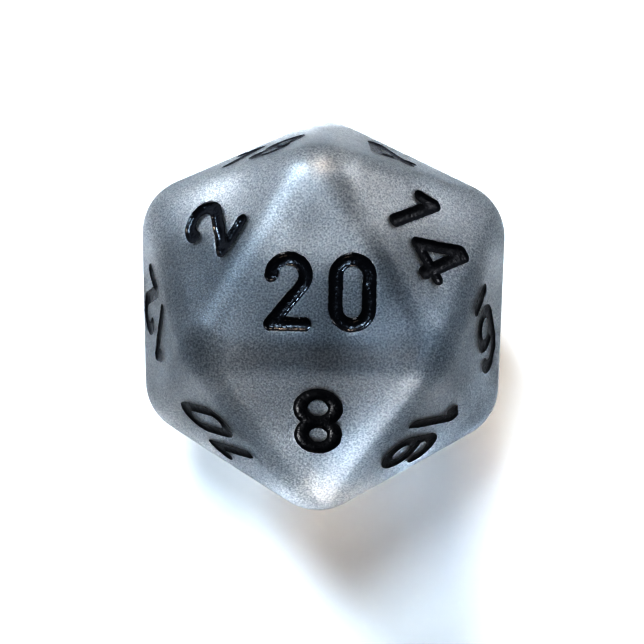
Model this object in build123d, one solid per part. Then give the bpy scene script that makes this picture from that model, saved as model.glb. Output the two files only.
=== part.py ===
"""Twenty-sided die: a rounded regular icosahedron with engraved, paint-filled numerals.

Units are millimetres.  The die rests on its face 1 with face 20 up.  The origin is the centre of the
resting face, +Z is up and +Y points to the corner that the numeral 20 has at its top.
"""

import os
from math import acos, atan2, cos, degrees, hypot, radians, sin, sqrt

from build123d import *

# --- driving dimensions -------------------------------------------------------------------------------

across_faces = 20.0        # between two opposite faces, the die's nominal size
edge_radius = 3.2          # rounding of every edge and corner

digit_height = 4.1         # outer height of a digit in a two-digit numeral
stroke_width = 0.68        # width of the engraved stroke
digit_gap = 0.90           # clear space between the two digits of a numeral
single_scale = 1.06        # a numeral of one digit is cut a little larger
underline_gap = 0.42       # between a digit and the bar under it
underline_length = 1.45    # of the bar's centreline

groove_depth = 0.50        # from the face to the floor of the groove
paint_recess = 0.08        # the paint stops this far below the surface
cutter_overshoot = 0.20    # how far the groove cutter stands out of the face

# digit shapes, all on the centreline of the stroke
zero_radius = 0.87
one_flag = (0.78, 0.70)    # run and drop of the flag of the 1
two_radius = 0.88
three_radii = (0.80, 0.90)
four_reach = (1.62, 0.56)  # crossbar to the left and right of the stem
four_crossbar = 0.64       # crossbar above the foot of the stem
four_lean = 0.29           # top of the diagonal, to the left of the stem
five_radius = 0.93
six_radius = 0.96
seven_width = 1.72
eight_radii = (0.84, 0.87)

# the numeral on each upper face: its corners, the one above the numeral first, and the numeral's
# offset from the middle of the face, to the right and up
upper_faces = {
    20: ("ABC", (0.20, -0.20)),
    2: ("EAB", (0.20, 0.20)),
    14: ("DAC", (0.15, 0.05)),
    8: ("FBC", (-0.15, 0.20)),
    18: ("fAE", (0.10, -0.20)),
    4: ("fAD", (0.00, 0.20)),
    12: ("dEB", (0.15, -0.30)),
    10: ("dBF", (0.05, -0.40)),
    16: ("eCF", (-0.10, -0.10)),
    6: ("eDC", (0.15, 0.05)),
}

# --- derived dimensions -------------------------------------------------------------------------------

face_distance = across_faces / 2
golden_ratio = (1 + sqrt(5)) / 2
edge_length = face_distance * 2 * sqrt(3) / golden_ratio**2
corner_distance = edge_length / 2 * sqrt(golden_ratio * sqrt(5))
near_radius = edge_length / sqrt(3)
far_radius = near_radius * golden_ratio
far_height = sqrt(corner_distance**2 - far_radius**2)
half_rise = (digit_height - stroke_width) / 2


def corner(radius, height, angle):
    """A corner of the sharp icosahedron, relative to the die's centre."""
    return Vector(radius * cos(radians(angle)), radius * sin(radians(angle)), height)


def sharp_corners():
    """The twelve corners.  A small letter is the corner opposite the capital."""
    capitals = {
        "A": corner(near_radius, face_distance, 90),
        "B": corner(near_radius, face_distance, 210),
        "C": corner(near_radius, face_distance, 330),
        "D": corner(far_radius, far_height, 30),
        "E": corner(far_radius, far_height, 150),
        "F": corner(far_radius, far_height, 270),
    }
    opposites = {name.lower(): place * -1 for name, place in capitals.items()}
    return {**capitals, **opposites}


def all_faces():
    """Number -> (corner letters, offset), with opposite faces adding up to 21."""
    faces = {}
    for number, (letters, offset) in upper_faces.items():
        faces[number] = (letters, offset)
        faces[21 - number] = (letters.swapcase(), (0.0, offset[1]))
    return faces


def rounded_icosahedron(corners, faces, inset):
    """The die's outer shape, moved inwards by inset all over, centred on the origin."""
    scale = (face_distance - inset) / face_distance
    triangles = []
    for letters, _ in faces.values():
        points = [corners[letter] * scale for letter in letters]
        triangles.append(Face(Wire.make_polygon(points, close=True)))
    sharp = Solid(Shell(triangles))
    return sharp.fillet(edge_radius - inset, sharp.edges())


# --- strokes ------------------------------------------------------------------------------------------


def bar(x1, y1, x2, y2):
    """A straight stroke with round ends."""
    slot = SlotCenterToCenter(hypot(x2 - x1, y2 - y1), stroke_width, degrees(atan2(y2 - y1, x2 - x1)))
    return Pos((x1 + x2) / 2, (y1 + y2) / 2) * slot


def bend(x, y, radius, start, sweep):
    """A curved stroke with round ends, centred on (x, y), from the angle start."""
    return SlotArc(CenterArc((x, y), radius, start, sweep), stroke_width)


def ring(x, y, radius):
    """A closed round stroke."""
    half = stroke_width / 2
    return Pos(x, y) * (Circle(radius + half) - Circle(radius - half))


# --- digits, centred on the origin --------------------------------------------------------------------


def zero():
    rise = half_rise - zero_radius
    return [
        bend(0, rise, zero_radius, 0, 180),
        bend(0, -rise, zero_radius, 180, 180),
        bar(-zero_radius, -rise, -zero_radius, rise),
        bar(zero_radius, -rise, zero_radius, rise),
    ]


def one():
    run, drop = one_flag
    return [
        bar(run / 2, -half_rise, run / 2, half_rise),
        bar(-run / 2, half_rise - drop, run / 2, half_rise),
    ]


def two():
    """A hook whose end runs straight, along a tangent, to the corner of the base."""
    hook_y = half_rise - two_radius
    foot_x = -two_radius
    reach = hypot(foot_x, half_rise + hook_y)
    towards_foot = degrees(atan2(-half_rise - hook_y, foot_x))
    leave = towards_foot + degrees(acos(two_radius / reach))
    leave_x = two_radius * cos(radians(leave))
    leave_y = hook_y + two_radius * sin(radians(leave))
    return [
        bend(0, hook_y, two_radius, leave, 180 - leave),
        bar(leave_x, leave_y, foot_x, -half_rise),
        bar(foot_x, -half_rise, two_radius, -half_rise),
    ]


def three():
    upper, lower = three_radii
    return [
        bend(0, half_rise - upper, upper, -90, 245),
        bend(0, lower - half_rise, lower, 205, 245),
    ]


def four():
    left, right = four_reach
    stem = (left - right) / 2
    bar_y = four_crossbar - half_rise
    return [
        bar(stem, -half_rise, stem, half_rise),
        bar(stem - left, bar_y, stem + right, bar_y),
        bar(stem - left, bar_y, stem - four_lean, half_rise),
        bar(stem - four_lean, half_rise, stem, half_rise),
    ]


def five():
    bowl_y = five_radius - half_rise
    start = 140
    start_x = five_radius * cos(radians(start))
    start_y = bowl_y + five_radius * sin(radians(start))
    return [
        bar(start_x, half_rise, five_radius * 0.85, half_rise),
        bar(start_x, half_rise, start_x, start_y),
        bend(0, bowl_y, five_radius, -145, 145 + start),
    ]


def six():
    rise = half_rise - six_radius
    return [
        ring(0, -rise, six_radius),
        bar(-six_radius, -rise, -six_radius, rise),
        bend(0, rise, six_radius, 20, 160),
    ]


def seven():
    return [
        bar(-seven_width / 2, half_rise, seven_width / 2, half_rise),
        bar(seven_width / 2, half_rise, -seven_width / 4, -half_rise),
    ]


def eight():
    upper, lower = eight_radii
    return [
        ring(0, half_rise - upper, upper),
        ring(0, lower - half_rise, lower),
    ]


def nine():
    return [Rot(0, 0, 180) * stroke for stroke in six()]


DIGITS = (zero, one, two, three, four, five, six, seven, eight, nine)


def digit_sketch(digit):
    """All strokes of one digit, joined."""
    return Sketch() + DIGITS[digit]()


def underline():
    """The bar under a 6 or 9."""
    y = -digit_height / 2 - underline_gap - stroke_width / 2
    return bar(-underline_length / 2, y, underline_length / 2, y)


def numeral_sketches(number):
    """The separate outlines of a numeral, centred together on the origin."""
    outlines = []
    pen_x = 0.0
    for character in str(number):
        outline = digit_sketch(int(character))
        box = outline.bounding_box()
        outlines.append(Pos(pen_x - box.min.X) * outline)
        pen_x += box.size.X + digit_gap
    if number in (6, 9):
        middle = outlines[0].bounding_box().center()
        outlines.append(Pos(middle.X) * underline())
    boxes = [outline.bounding_box() for outline in outlines]
    middle_x = (min(box.min.X for box in boxes) + max(box.max.X for box in boxes)) / 2
    middle_y = (min(box.min.Y for box in boxes) + max(box.max.Y for box in boxes)) / 2
    growth = single_scale if number < 10 else 1.0
    return [scale(Pos(-middle_x, -middle_y) * outline, by=growth, about=(0, 0, 0)) for outline in outlines]


def face_plane(corners, letters):
    """The plane of a face, with its Y axis towards the first corner."""
    top, second, third = (corners[letter] for letter in letters)
    middle = (top + second + third) / 3
    outward = middle.normalized()
    up = (top - middle).normalized()
    return Plane(origin=middle, x_dir=up.cross(outward), z_dir=outward)


def groove_cutters(corners, number, letters, offset):
    """One prism for each outline of a face's numeral, from the groove's floor to above the face."""
    floor = face_plane(corners, letters).offset(-groove_depth)
    height = groove_depth + cutter_overshoot
    return [extrude(floor * Pos(*offset) * outline, height) for outline in numeral_sketches(number)]


def write_step(node, solids):
    """One file for a node: a single solid, or a group of separate ones."""
    standing = [Pos(0, 0, face_distance) * solid for solid in solids]
    shape = standing[0] if len(standing) == 1 else Compound(children=standing)
    shape.label = node
    export_step(shape, os.path.join("parts", node + ".step"))
    print(node, len(solids), "solids", round(sum(solid.volume for solid in solids), 4), "mm3")


def main():
    os.makedirs("parts", exist_ok=True)
    corners = sharp_corners()
    faces = all_faces()
    body = rounded_icosahedron(corners, faces, 0.0)
    paint_limit = rounded_icosahedron(corners, faces, paint_recess)
    for number in sorted(faces):
        letters, offset = faces[number]
        paint = []
        for cutter in groove_cutters(corners, number, letters, offset):
            body = body - cutter
            paint += (cutter & paint_limit).solids()
        write_step(f"numeral_{number:02d}", paint)
    write_step("die_body", body.solids())


main()
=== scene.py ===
"""Looks of the twenty-sided die: frosted translucent plastic with black paint in its grooves."""

import itertools
import math

import bmesh
import bpy
import numpy as np
from mathutils import Matrix, Vector
from mathutils.geometry import delaunay_2d_cdt


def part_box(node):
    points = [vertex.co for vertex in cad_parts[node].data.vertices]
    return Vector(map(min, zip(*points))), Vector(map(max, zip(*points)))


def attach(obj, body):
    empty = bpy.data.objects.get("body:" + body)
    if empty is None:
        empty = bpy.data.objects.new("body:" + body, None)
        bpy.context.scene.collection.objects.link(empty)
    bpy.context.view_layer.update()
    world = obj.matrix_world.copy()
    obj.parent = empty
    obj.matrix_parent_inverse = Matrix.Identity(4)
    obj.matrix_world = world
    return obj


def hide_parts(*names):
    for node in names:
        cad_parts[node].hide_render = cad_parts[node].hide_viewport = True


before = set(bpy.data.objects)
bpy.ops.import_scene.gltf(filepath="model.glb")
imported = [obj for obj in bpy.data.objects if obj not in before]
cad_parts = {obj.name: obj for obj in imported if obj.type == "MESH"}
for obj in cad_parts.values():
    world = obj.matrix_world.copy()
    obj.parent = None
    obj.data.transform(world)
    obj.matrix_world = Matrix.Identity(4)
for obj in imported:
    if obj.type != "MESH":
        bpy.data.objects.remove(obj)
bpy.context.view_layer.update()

# --- sizes, in millimetres unless a name says otherwise ------------------------------------------------

MM = 0.001                    # metres in a millimetre
GOLDEN = (1 + math.sqrt(5)) / 2
LOW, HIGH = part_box("die_body")
FACE_DISTANCE = (HIGH.z - LOW.z) / MM / 2
CENTRE = np.array(((LOW + HIGH) / 2) / MM)
EDGE_RADIUS = 0.32 * FACE_DISTANCE

LATTICE = 44                  # surface points along each edge of a face
GRID_STEP = 0.04              # of the grid on which a numeral's distance field is sampled
GRID_MARGIN = 0.25            # of that grid round the numeral
LOOP_STEP = 0.060             # between the points of a groove's edge loops
LEAST_LOOP_POINTS = 8
SHORTEST_LINE = 5             # a closed line with no more points than this is grid noise
HALVINGS = 40                 # of the interval in which a surface point is sought
LEAST_SHARE = 0.8             # the rounded surface is never nearer the centre than this share
EDGE_TOLERANCE = 1.01         # three corners no further apart than this many edges are a face
CLEAR_BAND = (-0.22, 0.14)    # no lattice point is this near a groove's edge
WELD = 0.00005                # points this close are one point
FLOOR_BAND = 0.001            # a CAD vertex this close to the groove's floor lies on it

# the groove across its lip, wall and floor: (distance outside its edge, depth)
GROOVE = ((0.070, 0.0), (0.038, 0.007), (0.012, 0.030), (-0.010, 0.075), (-0.110, 0.300), (-0.170, 0.480))
GROOVE_FLOOR = 0.500
# the paint across the same groove where it is full to the lip, and where it has sunk
FULL = ((0.036, 0.004), (0.006, 0.018), (-0.060, 0.040), (-0.150, 0.060), (-0.260, 0.070))
SUNK = ((0.028, 0.010), (0.000, 0.045), (-0.050, 0.110), (-0.140, 0.160), (-0.260, 0.185))
SUNK_SHARE = {"numeral_20": 0.85, "numeral_02": 0.70}
USUAL_SHARE = 0.25
BARE_DEPTH = 0.16             # how much further down the wall the paint stops in bare places
PAINT_BOTTOM = 0.490
EDGE_WANDER = 0.018           # how far a groove's edge strays from its drawn line
WANDER_PITCH = 0.35           # the length of that straying

# --- looks: noise scales are in repeats per metre, bump heights in metres --------------------------------

GRAIN_SCALE = 10000           # of the frosting's fine grain
GRAIN_RANGE = (0.37, 0.70)    # the noise values that are fully dark and fully pale
GRAIN_DARK = (0.34, 0.36, 0.39, 1)
GRAIN_PALE = (0.98, 0.99, 1.0, 1)
PLASTIC_IOR = 1.5
PLASTIC_ROUGHNESS = (0.35, 0.41)
PLASTIC_PATCH_SCALE = 900     # of the change from one roughness to the other
PLASTIC_BUMP_SCALE = 12000
PLASTIC_BUMP_DETAIL = 3
BUMP_HEIGHT = 0.00002
PAINT_COLOUR = (0.012, 0.013, 0.017, 1)
PAINT_PATCH_SCALE = 3500
PAINT_BUMP_SCALE = 6000
# (specular level, lowest roughness, highest roughness)
FULL_PAINT = (0.14, 0.16, 0.36)
SUNK_PAINT = (0.26, 0.10, 0.30)
FLOOR_COLOUR = (0.50, 0.50, 0.50, 1)
FLOOR_ROUGHNESS = 0.9
FLOOR_SPECULAR = 0.1
FLOOR_SIZE = 3.0              # metres

# --- the studio ----------------------------------------------------------------------------------------

CAMERA_DISTANCE = 83.0
CAMERA_TURN = math.radians(-73)          # where it stands, counted from +X
CAMERA_TILT = math.radians(6.4)          # away from straight overhead
CAMERA_ROLL = math.radians(1.3)
CAMERA_AIM = (0.0, -0.7, 0.0)            # from the die's centre
SENSOR_WIDTH = 36.0
LENS = 79.0
CAMERA_NEAR = 0.002           # metres, nearer than which the camera sees nothing
SOFTBOX = 0.12                # metres, as is the next
LIGHT_REACH = 0.40            # from the die to each softbox
WHITE = (1.0, 1.0, 1.0)
COOL = (0.75, 0.88, 1.0)
WARM = (1.0, 0.85, 0.70)
# (name, azimuth and elevation in degrees, watts, colour)
LIGHTS = (
    ("back_left", 130, 25, 2.0, COOL),
    ("back", 90, 30, 1.2, WARM),
    ("right", 45, 10, 0.6, WHITE),
    ("front", 285, 10, 1.2, WHITE),
    ("top_back", 110, 65, 1.0, COOL),
    ("top_front", 290, 60, 0.3, WARM),
)
WORLD_COLOUR = (0.7, 0.85, 1.0, 1.0)
WORLD_STRENGTH = 0.2
LOOK = "Very High Contrast"
GAMMA = 0.64


def unit(vector):
    return vector / np.linalg.norm(vector)


# --- the rounded icosahedron ---------------------------------------------------------------------------


def sharp_corners():
    """The twelve corners of the die before rounding, relative to its centre."""
    edge = FACE_DISTANCE * 2 * math.sqrt(3) / GOLDEN**2
    near = edge / math.sqrt(3)
    far = near * GOLDEN
    level = math.sqrt(edge**2 / 4 * GOLDEN * math.sqrt(5) - far**2)
    rings = ((near, FACE_DISTANCE, 90), (far, level, 30), (far, -level, 90), (near, -FACE_DISTANCE, 30))
    corners = []
    for radius, height, start in rings:
        for turn in range(3):
            angle = math.radians(start + 120 * turn)
            corners.append((radius * math.cos(angle), radius * math.sin(angle), height))
    return np.array(corners), edge


class DieFace:
    """One face, with its own flat coordinates: x and y in the face, z out of it from the die's centre."""

    def __init__(self, triangle):
        middle = triangle.mean(0)
        if np.dot(np.cross(triangle[1] - triangle[0], triangle[2] - triangle[0]), middle) < 0:
            triangle = triangle[::-1]
        self.out = unit(middle)
        self.up = unit(triangle[0] - middle)
        self.right = np.cross(self.up, self.out)
        self.axes = np.array([self.right, self.up, self.out])
        self.sharp = triangle @ self.axes.T
        self.flat = self.sharp[:, :2] * (1 - EDGE_RADIUS / FACE_DISTANCE)

    def to_flat(self, points):
        """Die points, in metres, in the face's coordinates."""
        return (np.asarray(points) / MM - CENTRE) @ self.axes.T

    def to_die(self, points):
        """The face's points as die points in metres."""
        return (np.asarray(points) @ self.axes + CENTRE) * MM

    def outside_flat(self, points):
        """How far each point is outside the face's flat triangle."""
        nearest = np.full(len(points), np.inf)
        inside = np.ones(len(points), bool)
        for start, end in zip(self.flat, np.roll(self.flat, -1, 0)):
            along = end - start
            share = np.clip((points - start) @ along / (along @ along), 0, 1)
            nearest = np.minimum(nearest, np.linalg.norm(points - start - share[:, None] * along, axis=1))
            inside &= (points - start) @ np.array([-along[1], along[0]]) >= 0
        return np.where(inside, 0.0, nearest)

    def height(self, points):
        """The rounded surface above each flat point."""
        beyond = np.minimum(self.outside_flat(points), EDGE_RADIUS)
        return FACE_DISTANCE - EDGE_RADIUS + np.sqrt(EDGE_RADIUS**2 - beyond**2)

    def drop_to_surface(self, points):
        """Where the lines from the die's centre to points of the sharp face meet the rounded surface."""
        low, high = np.full(len(points), LEAST_SHARE), np.ones(len(points))
        for _ in range(HALVINGS):
            share = (low + high) / 2
            above = points[:, 2] * share > self.height(points[:, :2] * share[:, None])
            high = np.where(above, share, high)
            low = np.where(above, low, share)
        return points * low[:, None]

    def lattice(self):
        """Surface points over the whole face: those inside it, and its border in order."""
        inner, border = [], [[], [], []]
        for i, j in itertools.product(range(LATTICE + 1), repeat=2):
            k = LATTICE - i - j
            if k < 0:
                continue
            point = (self.sharp[0] * i + self.sharp[1] * j + self.sharp[2] * k) / LATTICE
            if i and j and k:
                inner.append(point)
            elif k == 0 and j < LATTICE:
                border[0].append((j, point))
            elif i == 0 and k < LATTICE:
                border[1].append((k, point))
            else:
                border[2].append((i, point))
        ordered = [point for side in border for _, point in sorted(side, key=lambda item: item[0])]
        return self.drop_to_surface(np.array(inner)), self.drop_to_surface(np.array(ordered))


def die_faces():
    corners, edge = sharp_corners()
    faces = []
    for triple in itertools.combinations(range(12), 3):
        sides = [np.linalg.norm(corners[a] - corners[b]) for a, b in itertools.combinations(triple, 2)]
        if max(sides) < edge * EDGE_TOLERANCE:
            faces.append(DieFace(corners[list(triple)]))
    return faces


# --- the grooves' outlines -----------------------------------------------------------------------------


def wander(points, phase):
    """A smooth, repeatable unevenness between about -1 and 1."""
    x, y = points[..., 0] / WANDER_PITCH, points[..., 1] / WANDER_PITCH
    first = np.sin(2.1 * x + 1.3 * np.sin(1.7 * y + phase) + phase)
    second = np.sin(4.3 * y - 3.1 * x + 2.1 * phase)
    third = np.sin(7.9 * x + 6.1 * y + 1.2 * np.sin(5.0 * y) - phase)
    return 0.4 * first + 0.3 * second + 0.4 * third


def bareness(points, phase):
    """From 0, where the paint reaches its rim, to 1, where it has left the wall bare."""
    x, y = points[..., 0], points[..., 1]
    return np.clip(1.9 * np.sin(1.7 * x + phase) * np.sin(1.3 * y - 2 * phase) - 0.9, 0, 1)


def enclosed(points, sides):
    """True for the points that the closed outline, given by its sides, goes round an odd number of times."""
    crossings = np.zeros(len(points), int)
    for start, end in sides:
        over = (start[1] > points[:, 1]) != (end[1] > points[:, 1])
        if over.any():
            meet = start[0] + (points[:, 1] - start[1]) * (end[0] - start[0]) / (end[1] - start[1])
            crossings += over & (points[:, 0] < meet)
    return crossings % 2 == 1


class Numeral:
    """The outline of one engraved numeral, read from the floor of its CAD paint fill."""

    def __init__(self, name, face, phase):
        self.name = name
        self.face = face
        self.phase = phase
        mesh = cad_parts[name].data
        mesh.calc_loop_triangles()
        points = face.to_flat([vertex.co for vertex in mesh.vertices])
        floor = points[:, 2].min()
        sides = {}
        for triangle in mesh.loop_triangles:
            corners = points[list(triangle.vertices)]
            if corners[:, 2].max() > floor + FLOOR_BAND:
                continue
            keys = [tuple(np.round(corner[:2], 3)) for corner in corners]
            for a, b in zip(keys, keys[1:] + keys[:1]):
                side = frozenset((a, b))
                sides[side] = sides.get(side, 0) + 1
        self.sides = np.array([sorted(side) for side, uses in sides.items() if uses == 1 and len(side) == 2])
        self.low = self.sides.min((0, 1)) - GRID_MARGIN
        self.high = self.sides.max((0, 1)) + GRID_MARGIN
        self.xs = np.arange(self.low[0], self.high[0], GRID_STEP)
        self.ys = np.arange(self.low[1], self.high[1], GRID_STEP)
        grid = np.stack(np.meshgrid(self.xs, self.ys, indexing="ij"), -1)
        self.field = self.distance(grid.reshape(-1, 2)).reshape(grid.shape[:2])

    def distance(self, points):
        """How far outside the groove's edge each point is; inside it is negative."""
        nearest = np.full(len(points), np.inf)
        for start, end in self.sides:
            along = end - start
            share = np.clip((points - start) @ along / (along @ along), 0, 1)
            gap = points - start - share[:, None] * along
            nearest = np.minimum(nearest, (gap**2).sum(1))
        signed = np.where(enclosed(points, self.sides), -1, 1) * np.sqrt(nearest)
        return signed + EDGE_WANDER * wander(points, self.phase)

    def holds(self, points):
        """True for the points within the numeral's grid."""
        return ((points > self.low) & (points < self.high)).all(1)

    def loops(self, level):
        """The closed lines at one distance from the groove's edge, by marching squares."""
        inside = self.field < level
        links = {}

        def crossing(a, b):
            """The point between two grid corners where the field meets the level."""
            first, second = self.field[a], self.field[b]
            share = (level - first) / (second - first)
            return (
                self.xs[a[0]] + share * (self.xs[b[0]] - self.xs[a[0]]),
                self.ys[a[1]] + share * (self.ys[b[1]] - self.ys[a[1]]),
            )

        changed = inside[:-1, :-1] ^ inside[1:, :-1] | inside[:-1, :-1] ^ inside[:-1, 1:]
        changed |= inside[1:, 1:] ^ inside[1:, :-1] | inside[1:, 1:] ^ inside[:-1, 1:]
        places = {}
        for i, j in np.argwhere(changed):
            ring = [(i, j), (i + 1, j), (i + 1, j + 1), (i, j + 1)]
            cuts = []
            for a, b in zip(ring, ring[1:] + ring[:1]):
                if inside[a] != inside[b]:
                    key = (min(a, b), max(a, b))
                    places[key] = crossing(*key)
                    cuts.append(key)
            for first, second in zip(cuts[::2], cuts[1::2]):
                links.setdefault(first, []).append(second)
                links.setdefault(second, []).append(first)
        return [evenly_spaced(line) for line in closed_lines(links, places)]


def closed_lines(links, places):
    """Follows links from point to point until each line closes."""
    lines, used = [], set()
    for start in links:
        if start in used:
            continue
        line, here, before = [], start, None
        while here not in used:
            used.add(here)
            line.append(places[here])
            onward = [n for n in links[here] if n != before and n not in used]
            before, here = here, onward[0] if onward else here
        if len(line) > SHORTEST_LINE:
            lines.append(np.array(line))
    return lines


def evenly_spaced(line):
    """The same closed line with its points LOOP_STEP apart."""
    closed = np.vstack([line, line[:1]])
    run = np.concatenate([[0], np.cumsum(np.linalg.norm(np.diff(closed, axis=0), axis=1))])
    count = max(LEAST_LOOP_POINTS, round(run[-1] / LOOP_STEP))
    stops = np.linspace(0, run[-1], count + 1)[:-1]
    return np.stack([np.interp(stops, run, closed[:, axis]) for axis in (0, 1)], 1)


# --- meshes --------------------------------------------------------------------------------------------


class FlatPattern:
    """Points and lines in a face's plane, each with its depth, and the triangles between them."""

    def __init__(self):
        self.points = []
        self.depths = []
        self.lines = []

    def add(self, points, depths, closed=False):
        first = len(self.points)
        self.points += [tuple(point) for point in points]
        self.depths += list(np.broadcast_to(depths, len(points)))
        if closed:
            last = len(self.points)
            self.lines += [(n, n + 1 if n + 1 < last else first) for n in range(first, last)]

    def triangles(self):
        """(flat points, depths, triangles), with the triangles inside the outermost lines."""
        found = delaunay_2d_cdt([Vector(point) for point in self.points], self.lines, [], 1, WELD)
        places, _, corners, sources = found[0], found[1], found[2], found[3]
        depths = [self.depths[source[0]] if source else np.nan for source in sources]
        return np.array([tuple(place) for place in places]), np.array(depths), corners


def depth_at(distances, profile, deepest):
    """The depth of a groove or of its paint at some distances from the groove's edge."""
    outward = sorted(profile)
    steps = [step for step, _ in outward]
    depths = [depth for _, depth in outward]
    return np.interp(distances, steps, depths, left=deepest, right=depths[-1])


def add_mesh(name, points, triangles, material):
    """A smooth-shaded object, with the points that coincide along its seams merged."""
    mesh = bpy.data.meshes.new(name)
    mesh.from_pydata([tuple(point) for point in points], [], [tuple(corner) for corner in triangles])
    joined = bmesh.new()
    joined.from_mesh(mesh)
    bmesh.ops.remove_doubles(joined, verts=joined.verts, dist=WELD * MM)
    joined.to_mesh(mesh)
    joined.free()
    mesh.materials.append(material)
    mesh.shade_smooth()
    piece = bpy.data.objects.new(name, mesh)
    bpy.context.scene.collection.objects.link(piece)
    return piece


def body_patch(face, numeral):
    """One face of the die's surface, with its numeral's groove."""
    inner, border = face.lattice()
    flat = inner[:, :2]
    near = numeral.holds(flat)
    distances = np.full(len(flat), GRID_MARGIN)
    distances[near] = numeral.distance(flat[near])
    keep = (distances < CLEAR_BAND[0]) | (distances > CLEAR_BAND[1])
    pattern = FlatPattern()
    pattern.add(border[:, :2], 0.0, closed=True)
    pattern.add(flat[keep], depth_at(distances[keep], GROOVE, GROOVE_FLOOR))
    for level, depth in GROOVE:
        for loop in numeral.loops(level):
            pattern.add(loop, depth, closed=True)
    places, depths, triangles = pattern.triangles()
    unknown = np.isnan(depths)
    if unknown.any():
        depths[unknown] = depth_at(numeral.distance(places[unknown]), GROOVE, GROOVE_FLOOR)
    heights = face.height(places) - depths
    return face.to_die(np.column_stack([places, heights])), triangles


def die_shell(faces, numerals, material):
    points, triangles = [], []
    count = 0
    for face, numeral in zip(faces, numerals):
        patch, corners = body_patch(face, numeral)
        points.append(patch)
        triangles += [tuple(n + count for n in corner) for corner in corners]
        count += len(patch)
    return add_mesh("frosted_die", np.vstack(points), triangles, material)


def paint_fill(numeral, material):
    """The paint in one groove: a hollowed top, walls and a flat underside."""
    share = SUNK_SHARE.get(numeral.name, USUAL_SHARE)
    profile = [tuple(a + share * (b - a) for a, b in zip(*pair)) for pair in zip(FULL, SUNK)]
    pattern = FlatPattern()
    rim = []
    for level, depth in profile:
        for loop in numeral.loops(level):
            pattern.add(loop, depth, closed=True)
            if level == profile[0][0]:
                rim += list(zip(loop, np.roll(loop, -1, 0)))
    places, depths, corners = pattern.triangles()
    unknown = np.isnan(depths)
    if unknown.any():
        depths[unknown] = depth_at(numeral.distance(places[unknown]), profile, profile[-1][1])
    depths = depths + BARE_DEPTH * bareness(places, numeral.phase) * share
    within = enclosed(places[np.array(corners)].mean(1), rim)
    inside = [tuple(corner) for corner, filled in zip(corners, within) if filled]
    top = numeral.face.height(places)
    upper = numeral.face.to_die(np.column_stack([places, top - depths]))
    underside = np.full(len(places), FACE_DISTANCE - PAINT_BOTTOM)
    lower = numeral.face.to_die(np.column_stack([places, underside]))
    sides = {}
    for corner in inside:
        for a, b in zip(corner, corner[1:] + corner[:1]):
            sides[(a, b)] = True
    outer = [(a, b) for a, b in sides if (b, a) not in sides]
    count = len(places)
    under = [tuple(n + count for n in corner[::-1]) for corner in inside]
    walls = [(b, a, a + count) for a, b in outer] + [(b, a + count, b + count) for a, b in outer]
    name = numeral.name.replace("numeral", "paint")
    return add_mesh(name, np.vstack([upper, lower]), inside + under + walls, material)


# --- materials -----------------------------------------------------------------------------------------


def new_material(name):
    material = bpy.data.materials.new(name)
    material.use_nodes = True
    return material, material.node_tree, material.node_tree.nodes["Principled BSDF"]


def noise(tree, scale, detail=2.0):
    """Noise in the object's own coordinates; scale is in repeats per metre."""
    place = tree.nodes.new("ShaderNodeTexCoord")
    texture = tree.nodes.new("ShaderNodeTexNoise")
    texture.inputs["Scale"].default_value = scale
    texture.inputs["Detail"].default_value = detail
    tree.links.new(place.outputs["Object"], texture.inputs["Vector"])
    return texture.outputs["Fac"]


def spread(tree, value, low, high, start=0.3, end=0.7):
    """A noise value, which lies mostly between start and end, stretched to run from low to high."""
    node = tree.nodes.new("ShaderNodeMapRange")
    node.inputs["From Min"].default_value = start
    node.inputs["From Max"].default_value = end
    node.inputs["To Min"].default_value = low
    node.inputs["To Max"].default_value = high
    tree.links.new(value, node.inputs["Value"])
    return node.outputs["Result"]


def bump(tree, shader, height):
    node = tree.nodes.new("ShaderNodeBump")
    node.inputs["Distance"].default_value = BUMP_HEIGHT
    node.inputs["Strength"].default_value = 1.0
    tree.links.new(height, node.inputs["Height"])
    tree.links.new(node.outputs["Normal"], shader.inputs["Normal"])


def frosted_plastic():
    """Clear plastic with a finely matted surface."""
    material, tree, shader = new_material("frosted_plastic")
    shader.inputs["Transmission Weight"].default_value = 1.0
    shader.inputs["IOR"].default_value = PLASTIC_IOR
    grain = spread(tree, noise(tree, GRAIN_SCALE), 0, 1, *GRAIN_RANGE)
    mix = tree.nodes.new("ShaderNodeMix")
    mix.data_type = "RGBA"
    mix.inputs[6].default_value = GRAIN_DARK
    mix.inputs[7].default_value = GRAIN_PALE
    tree.links.new(grain, mix.inputs[0])
    tree.links.new(mix.outputs[2], shader.inputs["Base Color"])
    roughness = spread(tree, noise(tree, PLASTIC_PATCH_SCALE), *PLASTIC_ROUGHNESS)
    tree.links.new(roughness, shader.inputs["Roughness"])
    bump(tree, shader, noise(tree, PLASTIC_BUMP_SCALE, PLASTIC_BUMP_DETAIL))
    return material


def numeral_paint(name, shine, smoothest, roughest):
    """Black paint. The fills that have sunk a long way shine more than the full ones."""
    material, tree, shader = new_material(name)
    shader.inputs["Base Color"].default_value = PAINT_COLOUR
    shader.inputs["Specular IOR Level"].default_value = shine
    roughness = spread(tree, noise(tree, PAINT_PATCH_SCALE), smoothest, roughest)
    tree.links.new(roughness, shader.inputs["Roughness"])
    bump(tree, shader, noise(tree, PAINT_BUMP_SCALE))
    return material


def pale_floor():
    material, tree, shader = new_material("pale_floor")
    shader.inputs["Base Color"].default_value = FLOOR_COLOUR
    shader.inputs["Roughness"].default_value = FLOOR_ROUGHNESS
    shader.inputs["Specular IOR Level"].default_value = FLOOR_SPECULAR
    return material


# --- the scene -----------------------------------------------------------------------------------------


def numeral_on(face):
    """The name of the CAD numeral that lies furthest out in the face's direction."""
    def outwardness(name):
        low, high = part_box(name)
        return (np.array((low + high) / 2) / MM - CENTRE) @ face.out

    names = sorted(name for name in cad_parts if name.startswith("numeral"))
    return max(names, key=outwardness)


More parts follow.
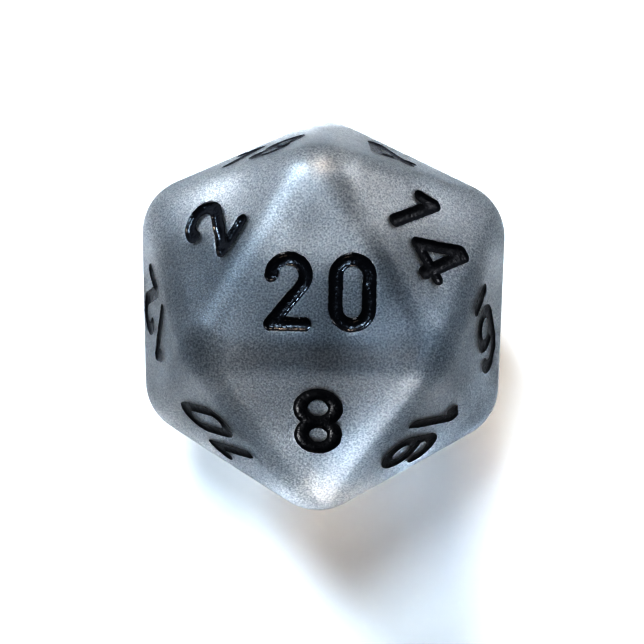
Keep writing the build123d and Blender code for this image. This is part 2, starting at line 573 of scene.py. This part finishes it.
def build_die():
    faces = die_faces()
    numerals = []
    for face in faces:
        name = numeral_on(face)
        numerals.append(Numeral(name, face, float(name[-2:])))
    shell = die_shell(faces, numerals, frosted_plastic())
    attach(shell, "root")
    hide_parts("die_body")
    dull = numeral_paint("numeral_paint", *FULL_PAINT)
    shiny = numeral_paint("sunk_paint", *SUNK_PAINT)
    for numeral in numerals:
        paint = shiny if numeral.name in SUNK_SHARE else dull
        fill = paint_fill(numeral, paint)
        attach(fill, "root")
        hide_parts(numeral.name)


def add_floor():
    bpy.ops.mesh.primitive_plane_add(size=FLOOR_SIZE)
    floor = bpy.context.object
    floor.name = "floor"
    floor.data.materials.append(pale_floor())


def add_camera():
    """A camera nearly overhead, a little in front of the die."""
    reach = math.sin(CAMERA_TILT)
    back = Vector((reach * math.cos(CAMERA_TURN), reach * math.sin(CAMERA_TURN), math.cos(CAMERA_TILT)))
    level_up = (Vector((0, 1, 0)) - back * back.y).normalized()
    level_right = level_up.cross(back)
    right = level_right * math.cos(CAMERA_ROLL) + level_up * math.sin(CAMERA_ROLL)
    up = level_up * math.cos(CAMERA_ROLL) - level_right * math.sin(CAMERA_ROLL)
    data = bpy.data.cameras.new("camera")
    data.sensor_width = SENSOR_WIDTH
    data.lens = LENS
    data.clip_start = CAMERA_NEAR
    camera = bpy.data.objects.new("camera", data)
    bpy.context.scene.collection.objects.link(camera)
    place = (Vector(CENTRE) + Vector(CAMERA_AIM) + back * CAMERA_DISTANCE) * MM
    camera.matrix_world = Matrix.Translation(place) @ Matrix((right, up, back)).transposed().to_4x4()
    bpy.context.scene.camera = camera


def add_lights():
    """Round softboxes aimed at the die, and a dim even world."""
    target = Vector(CENTRE * MM)
    for name, azimuth, elevation, watts, colour in LIGHTS:
        light = bpy.data.lights.new(name, "AREA")
        light.shape = "DISK"
        light.size = SOFTBOX
        light.energy = watts
        light.color = colour
        lamp = bpy.data.objects.new(name, light)
        bpy.context.scene.collection.objects.link(lamp)
        turn, rise = math.radians(azimuth), math.radians(elevation)
        out = Vector((math.cos(rise) * math.cos(turn), math.cos(rise) * math.sin(turn), math.sin(rise)))
        lamp.location = target + out * LIGHT_REACH
        lamp.rotation_euler = out.to_track_quat("Z", "Y").to_euler()
    world = bpy.data.worlds.new("studio")
    bpy.context.scene.world = world
    world.use_nodes = True
    background = world.node_tree.nodes["Background"]
    background.inputs["Color"].default_value = WORLD_COLOUR
    background.inputs["Strength"].default_value = WORLD_STRENGTH


build_die()
add_floor()
add_camera()
add_lights()
bpy.context.scene.view_settings.view_transform = "Standard"
bpy.context.scene.view_settings.look = LOOK
bpy.context.scene.view_settings.gamma = GAMMA
